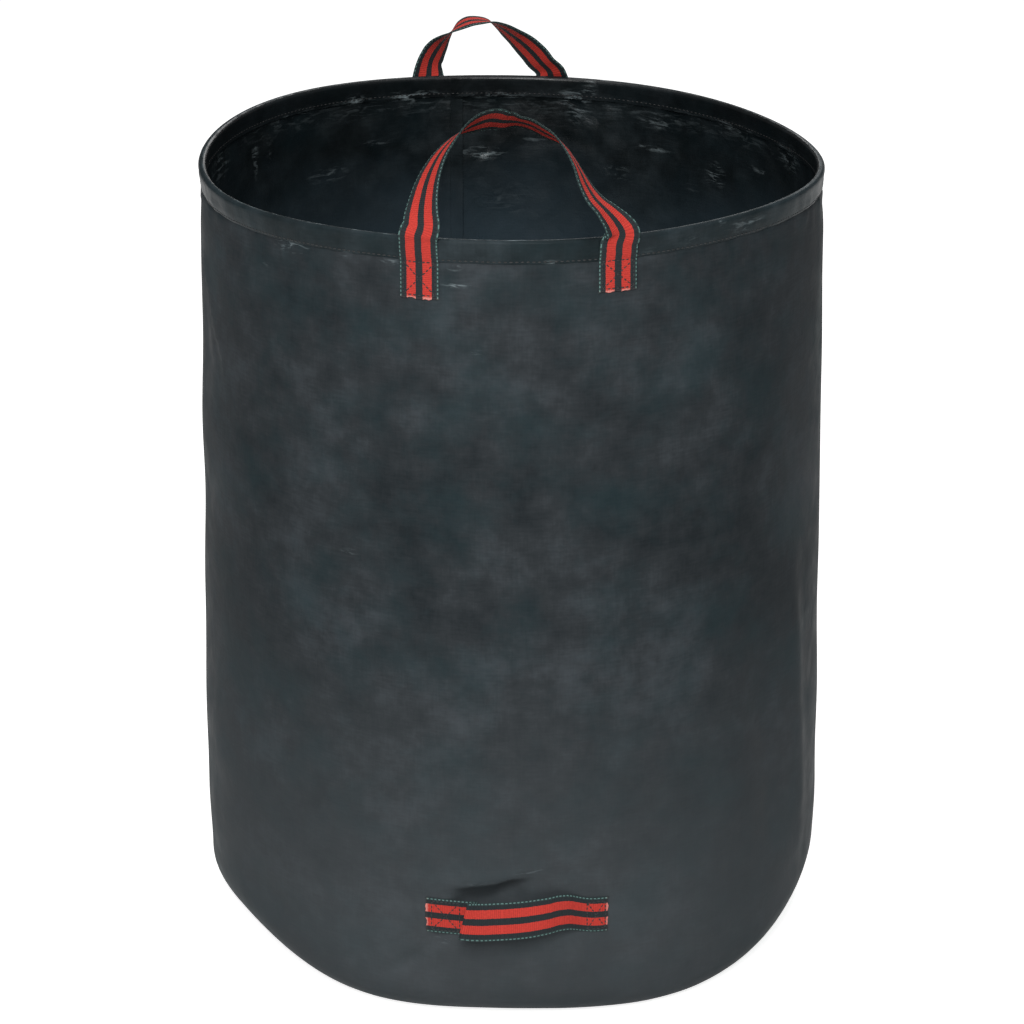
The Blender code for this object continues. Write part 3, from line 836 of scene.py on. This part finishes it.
# The cut ends are drawn pale: frayed fibres, with a painted highlight on them too.
frayed_end_highlight = spread(tree, uneven_end, 0.0042, 0.0026, most=1.1)
redness = add_node(tree, "SeparateColor", {"Color": colour}).outputs["Red"]
colour = mixed(tree, maths(tree, "MULTIPLY", frayed_end_highlight, redness), colour, linear("#e0a096"))
# The webbing is painted darker as shade more than 160 mm from its ends, in the arch's middle.
kept_share = spread(tree, from_cut, 0.16, 0.20, 1.0, 0.55)
set_inputs(tree, shader, {
    "Base Color": add_node(tree, "VectorMath", {0: colour, "Scale": kept_share}, operation="SCALE"),
    "Roughness": 0.82,
    "Specular IOR Level": 0.25,
    "Normal": bumped(tree, fibres, 0.5, 0.0002, bumped(tree, rib, 0.7, 0.00035))})


def flowing(points, steps):
    """A smooth path through the points, with steps points for each stretch between two."""
    points = np.array(points, float)
    ends = np.vstack([2 * points[0] - points[1], points, 2 * points[-1] - points[-2]])
    path = []
    for place in range(1, len(ends) - 2):
        before, here, there, after = ends[place - 1:place + 3]
        for share in np.arange(steps) / steps:
            path.append(0.5 * (
                2 * here + (there - before) * share
                + (2 * before - 5 * here + 4 * there - after) * share ** 2
                + (3 * here - before - 3 * there + after) * share ** 3))
    path.append(points[-1])
    return np.array(path)


def strap_places(middles, sides, steps=6, square=True):
    """A grid across a length of webbing along middles, its width along sides, and its UVs."""
    path = flowing(middles, steps)
    width = flowing(sides, steps)
    forward = np.gradient(path, axis=0)
    forward /= np.linalg.norm(forward, axis=1)[:, None]
    if square:
        width -= forward * (width * forward).sum(axis=1)[:, None]
    width /= np.linalg.norm(width, axis=1)[:, None]
    way = way_along(path)
    across = np.concatenate([[-0.5], np.linspace(-0.483, 0.483, 13), [0.5]]) * WEBBING_WIDTH
    places = path[:, None, :] + width[:, None, :] * across[None, :, None]
    cut = np.random.RandomState(3).uniform(-0.0011, 0.0011, (2, len(across), 1))
    places[0] += forward[0] * cut[0]
    places[-1] += forward[-1] * cut[1]
    from_end = np.minimum(way, way[-1] - way)
    return (places, np.repeat(across[None] + WEBBING_WIDTH / 2, len(path), axis=0),
            np.repeat(from_end[:, None], len(across), axis=1))


def laid_on_rim(places):
    """Draws a strap's sewn end in against the hem and the wall under it."""
    angle = np.arctan2(places[:, :, 1], places[:, :, 0])
    reach = np.hypot(places[:, :, 0], places[:, :, 1])
    below_hoop = places[:, :, 2] - HOOP_HEIGHT - hoop_lift(angle)
    face = hem_outside(below_hoop) + fullness(angle, HEM_FOOT) + SEWN_GAP + WEBBING / 2
    kept_share = 1 - ease((places[:, :, 2] - 0.869) / 0.009)
    drawn = reach + (face - reach) * kept_share
    return round_places(drawn, angle, places[:, :, 2])


def strap(name, places, across, along):
    """A strap of webbing whose two long edges are worn thin."""
    piece = placed_grid(name, places, across, along)
    count = len(piece.data.vertices)
    thicken(piece, WEBBING, webbing, offset=0.0, even=False)
    for row in range(places.shape[0]):
        for column in (0, places.shape[1] - 1):
            over = piece.data.vertices[row * places.shape[1] + column]
            under = piece.data.vertices[row * places.shape[1] + column + count]
            middle = (over.co + under.co) / 2
            over.co = middle + (over.co - middle) * WORN_EDGE
            under.co = middle + (under.co - middle) * WORN_EDGE
    smooth(piece, 50)
    return piece


FRONT_LEAN = math.radians(33)
FRONT_HINGE = (0.0075, -0.3290, 0.884)


def arch_point(hinge, lean, x_mm, rise_mm, forward_mm):
    """A point by its place across, up and in front of a plane that leans in from a hinge."""
    x, rise, forward = x_mm / 1000, rise_mm / 1000, forward_mm / 1000
    return (x, hinge[1] + rise * math.sin(lean) - forward * math.cos(lean),
            hinge[2] + rise * math.cos(lean) + forward * math.sin(lean))


def arch_side(lean, degrees):
    """A strap's width direction in that plane: level at 0, and turned to the front at 90."""
    turn = math.radians(degrees)
    return (math.cos(turn), -math.sin(turn) * math.cos(lean), math.sin(turn) * math.sin(lean))


def sewn_end(degrees, low, high, count):
    """Points up the middle of a sewn end, and the strap's width direction there."""
    angle = math.radians(degrees)
    point = [(0.332 * math.cos(angle), 0.332 * math.sin(angle), height)
             for height in np.linspace(low, high, count)]
    return point, [(-math.sin(angle), math.cos(angle), 0.0)] * count


def reversed_way(directions):
    return [tuple(-part for part in direction) for direction in directions]


FRONT_LEFT, FRONT_LEFT_END = 254.1, 0.8125
FRONT_RIGHT, FRONT_RIGHT_END = 288.4, 0.8185
# The arch's middle line, across, up and in front in its leaning plane, and the strap's turn.
FRONT_ARCH_MM = (
    (-88.8, 5.2, -1.8, 20), (-88.5, 17.2, 0.2, 31), (-86.8, 31.3, 1.3, 41), (-83.5, 46.5, 2.1, 48),
    (-78.1, 62, 2.9, 54), (-70.2, 76.9, 3.8, 59), (-59.8, 90, 5.1, 63), (-48.1, 100.5, 6.5, 73),
    (-34.8, 107.6, 6.5, 100), (-21.3, 112, 6, 126), (-8.1, 113.3, -1.7, 129),
    (5.6, 114.2, -5.4, 111), (19.5, 110.3, -5.3, 94), (33.3, 102.1, -3.9, 96),
    (46.9, 93.2, -2, 106), (57.5, 78.5, -0.6, 107), (66, 62.2, 0.1, 110), (73.4, 45.8, 0.1, 119),
    (82.3, 31.7, -0.5, 130), (93.2, 21.1, -3.6, 137), (102.9, 10.7, -7.5, 143),
)
left_end, left_way = sewn_end(FRONT_LEFT, FRONT_LEFT_END, 0.848, 5)
right_end, right_way = sewn_end(FRONT_RIGHT, 0.848, FRONT_RIGHT_END, 5)
middles = left_end + [
    (-0.0916, -0.3214, 0.858), (-0.0919, -0.3228, 0.868), (-0.0920, -0.3256, 0.877),
] + [arch_point(FRONT_HINGE, FRONT_LEAN, *place[:3]) for place in FRONT_ARCH_MM] + [
    (0.1085, -0.3184, 0.8785), (0.1059, -0.3185, 0.868), (0.1055, -0.3172, 0.858)] + right_end
sides = (left_way + left_way[:3] + [arch_side(FRONT_LEAN, place[3]) for place in FRONT_ARCH_MM]
         + [arch_side(FRONT_LEAN, 150)] + reversed_way(right_way[:2]) + reversed_way(right_way))
places, across, along = strap_places(middles, sides)
front_strap = strap("front_lift_strap", laid_on_rim(places), across, along)
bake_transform(front_strap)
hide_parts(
    "front_handle_loop", "front_handle_left_foot", "front_handle_right_foot")


def on_strap(degrees, height, reach):
    """A point on the outer face of a sewn end over a cloth's radius, and the way out from it."""
    out = (math.cos(math.radians(degrees)), math.sin(math.radians(degrees)), 0)
    reach = reach + SEWN_GAP + WEBBING + 0.0001
    return (reach * out[0], reach * out[1], height), out


def on_rim(degrees, height):
    angle = math.radians(degrees)
    below_hoop = height - HOOP_HEIGHT - hoop_lift(angle)
    return on_strap(degrees, height, float(hem_outside(below_hoop) + fullness(angle, HEM_FOOT)))


def stitched_box(place_on, middle, half, low, high):
    """The four sides and two diagonals of a sewn box, as lines on the strap's outer face."""
    left, right = middle - half, middle + half
    corners = [(left, low), (right, low), (right, high), (left, high)]
    pairs = list(zip(corners, corners[1:] + corners[:1]))
    pairs += [(corners[0], corners[2]), (corners[1], corners[3])]
    lines = []
    for (from_angle, from_height), (to_angle, to_height) in pairs:
        line = [place_on(from_angle + (to_angle - from_angle) * share,
                         from_height + (to_height - from_height) * share)
                for share in np.linspace(0, 1, 9)]
        lines.append(([point for point, _ in line], [out for _, out in line]))
    return lines


HALF_BOX = 2.85
front_stitches = sewn(
    "front_lift_stitches",
    stitched_box(on_rim, FRONT_LEFT, HALF_BOX, 0.816, 0.850)
    + stitched_box(on_rim, FRONT_RIGHT, HALF_BOX, 0.822, 0.8505), 0.0046)
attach(front_stitches, "rim")

# Rear lift handle: the same webbing, sewn to the outside of the hem at the rear. Its arch has
# flopped over to the left, so that its inner face shows dark under the bright upper one.
REAR_HINGE = (-0.026, 0.3349, 0.884)
REAR_LEFT, REAR_RIGHT = 107.0, 82.0
# The arch's middle line, across, above and in front of the hinge, and the strap's turn.
REAR_ARCH_MM = (
    (-95.5, 5.6, 10.4, 136), (-90.4, 17.3, 6, 135), (-83.6, 27.1, 2.7, 130),
    (-76.2, 35.8, 0.9, 117), (-68.4, 43.1, 0.1, 101), (-59.8, 49.3, -0.6, 84),
    (-49.5, 53.5, -1.3, 72), (-37.7, 54.5, -1.6, 63), (-25, 52.9, -0.6, 55),
    (-12.6, 47.6, 0.9, 48), (-0.2, 39.3, 2.2, 41), (12.1, 29.8, 3.7, 34), (23.8, 19.2, 5.7, 31),
    (34.2, 7.4, 7.1, 29), (44.3, -3.9, 6.7, 25),
)
left_end, left_way = sewn_end(REAR_LEFT, 0.8125, 0.868, 7)
right_end, right_way = sewn_end(REAR_RIGHT, 0.868, 0.8125, 7)
middles = left_end + [arch_point(REAR_HINGE, 0, *place[:3]) for place in REAR_ARCH_MM] + right_end
sides = left_way + [arch_side(0, place[3]) for place in REAR_ARCH_MM] + reversed_way(right_way)
places, across, along = strap_places(middles, sides)
rear_strap = strap("rear_lift_strap", laid_on_rim(places), across, along)
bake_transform(rear_strap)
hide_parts("rear_handle_loop", "rear_handle_left_foot", "rear_handle_right_foot")
rear_stitches = sewn(
    "rear_lift_stitches",
    stitched_box(on_rim, REAR_LEFT, HALF_BOX, 0.8165, 0.8465)
    + stitched_box(on_rim, REAR_RIGHT, HALF_BOX, 0.8165, 0.8465), 0.0042)
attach(rear_stitches, "rim")

# Tipping handle: a short length of the webbing, sewn flat to the foot of the wall at both ends.
# Its slack is laid over itself at the left, in a fold that stands off the wall.
TIP_HEIGHT = 0.133
# The strap's middle line, across, out from the wall and up, and its turn and slant.
TIP_PATH_MM = (
    (-90.5, 0, 0, 1.2, 0), (-79, 0, 0, 1.2, 0), (-68, 0, 0, 1.2, 0), (-57, 0, 0, 1.2, 0),
    (-47, 0.2, 0, 1.2, 0), (-40, 1.6, 0.6, 3, 0), (-36.2, 4.6, 1.4, 6, 0.02),
    (-36.6, 9, 2.6, 9, 0.06), (-40.5, 12.4, 3.8, 12, 0.12), (-45.2, 14.8, 4.8, 15, 0.2),
    (-49, 17, 5.4, 16, 0.25), (-50.6, 18.7, 5.8, 16, 0.26), (-49.2, 19.9, 5.9, 17, 0.24),
    (-45.6, 19.3, 5.6, 18, 0.18), (-39, 17.8, 4.9, 20, 0.08), (-28.8, 16.5, 4.7, 21, 0),
    (-14.7, 15.8, 5.5, 21, 0), (0.5, 16, 6.7, 21, 0), (16.5, 16.2, 8.4, 20, 0),
    (28.6, 15.6, 9.8, 17, 0), (39.6, 13.5, 10.4, 13, 0), (48.7, 9.9, 10.6, 10, 0),
    (59.9, 6.1, 9.1, 6, 0), (68.3, 2.3, 5.3, 3, 0), (76, 0.3, 2.2, 1.2, 0), (85, 0, 0.2, 1.2, 0),
    (93.5, 0, -0.6, 1.2, 0), (102, 0, -1, 1.2, 0),
)


def off_wall(x_mm, out_mm, rise_mm):
    """A point by its distance from where the strap lies flat on the front of the wall."""
    x, out, rise = x_mm / 1000, out_mm / 1000, rise_mm / 1000
    reach = wall_radius(TIP_HEIGHT + rise) + SEWN_GAP + WEBBING / 2
    return (x, -math.sqrt(reach ** 2 - x ** 2) - out, TIP_HEIGHT + rise)


def tilted(degrees, slant):
    turn = math.radians(degrees)
    return (slant, math.sin(turn), math.cos(turn))


places, across, along = strap_places(
    [off_wall(*place[:3]) for place in TIP_PATH_MM],
    [tilted(*place[3:]) for place in TIP_PATH_MM], 8, square=False)
tipping_strap = strap("tipping_strap", places, across, along)
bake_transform(tipping_strap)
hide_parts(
    "bottom_handle_loop", "bottom_handle_left_foot", "bottom_handle_right_foot")


def on_foot(degrees, height):
    return on_strap(degrees, height, wall_radius(height))


tipping_stitches = sewn(
    "tipping_stitches",
    stitched_box(on_foot, 258.4, 2.5, 0.1165, 0.1495)
    + stitched_box(on_foot, 284.95, 1.65, 0.1165, 0.1480), 0.0042)
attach(tipping_stitches, "root")

# Studio: a pale floor that runs out to white, a plain pale room, and four soft lamps above,
# before and behind the bag. The floor glows only to the eye, so the bag's shadow stays on it.
FLOOR_GLOW = 0.84
ROOM_LIGHT = 0.105
material, tree, shader = new_material("pale_matt_floor")
seen = add_node(tree, "LightPath")
direct = maths(tree, "MAXIMUM", seen.outputs["Is Camera Ray"], seen.outputs["Is Glossy Ray"])
shown = maths(tree, "MAXIMUM", direct, seen.outputs["Is Transmission Ray"])
set_inputs(tree, shader, {
    "Base Color": linear("#e9e9e7"), "Roughness": 0.9, "Specular IOR Level": 0.1,
    "Emission Color": (1, 1, 1, 1),
    "Emission Strength": maths(tree, "MULTIPLY", shown, FLOOR_GLOW)})
bpy.ops.mesh.primitive_plane_add(size=30, location=(0, 6, -0.0005))
floor = bpy.context.object
floor.name = "pale_floor"
floor.data.materials.append(material)

world = bpy.data.worlds.new("pale_room")
bpy.context.scene.world = world
world.use_nodes = True
tree = world.node_tree
tree.nodes.clear()
seen = add_node(tree, "LightPath")
shown = maths(
    tree, "MAXIMUM", seen.outputs["Is Camera Ray"], seen.outputs["Is Transmission Ray"])
room = add_node(tree, "Background", {
    "Color": (1, 1, 1, 1), "Strength": spread(tree, shown, least=ROOM_LIGHT)})
add_node(tree, "OutputWorld", {"Surface": room})


def softbox(name, power, size, place, aim):
    lamp = bpy.data.lights.new(name, "AREA")
    lamp.energy = power
    lamp.size = size
    light = bpy.data.objects.new(name, lamp)
    bpy.context.scene.collection.objects.link(light)
    light.location = place
    light.rotation_euler = (Vector(aim) - Vector(place)).to_track_quat("-Z", "Y").to_euler()


softbox("overhead_softbox", 38, 2.4, (0, -0.2, 3.4), (0, 0, 0.4))
softbox("high_front_softbox", 124, 1.8, (-0.25, -3.3, 3.0), (0, 0, 0.3))
softbox("low_left_softbox", 16, 1.6, (-1.2, -3.7, 1.1), (0, 0, 0.2))
softbox("rear_softbox", 30, 2.0, (0.6, 3.4, 2.6), (0, 0, 0.5))

# Camera: as far off and as high as the outline of rim and base in the photograph asks for.
CAMERA_PLACE = (0.0004, -3.41193, 1.80897)
CAMERA_DOWN = 21.5907
CAMERA_ROLL = 0.00171
camera_data = bpy.data.cameras.new("photo_camera")
camera_data.lens = 115.350
camera_data.sensor_width = 36
camera = bpy.data.objects.new("photo_camera", camera_data)
bpy.context.scene.collection.objects.link(camera)
camera.matrix_world = (
    Matrix.Translation(CAMERA_PLACE)
    @ Matrix.Rotation(math.radians(90 - CAMERA_DOWN), 4, "X")
    @ Matrix.Rotation(math.radians(CAMERA_ROLL), 4, "Z"))
bpy.context.scene.camera = camera
bpy.context.scene.view_settings.view_transform = "Standard"

bpy.data.objects.remove(stitch_shape)
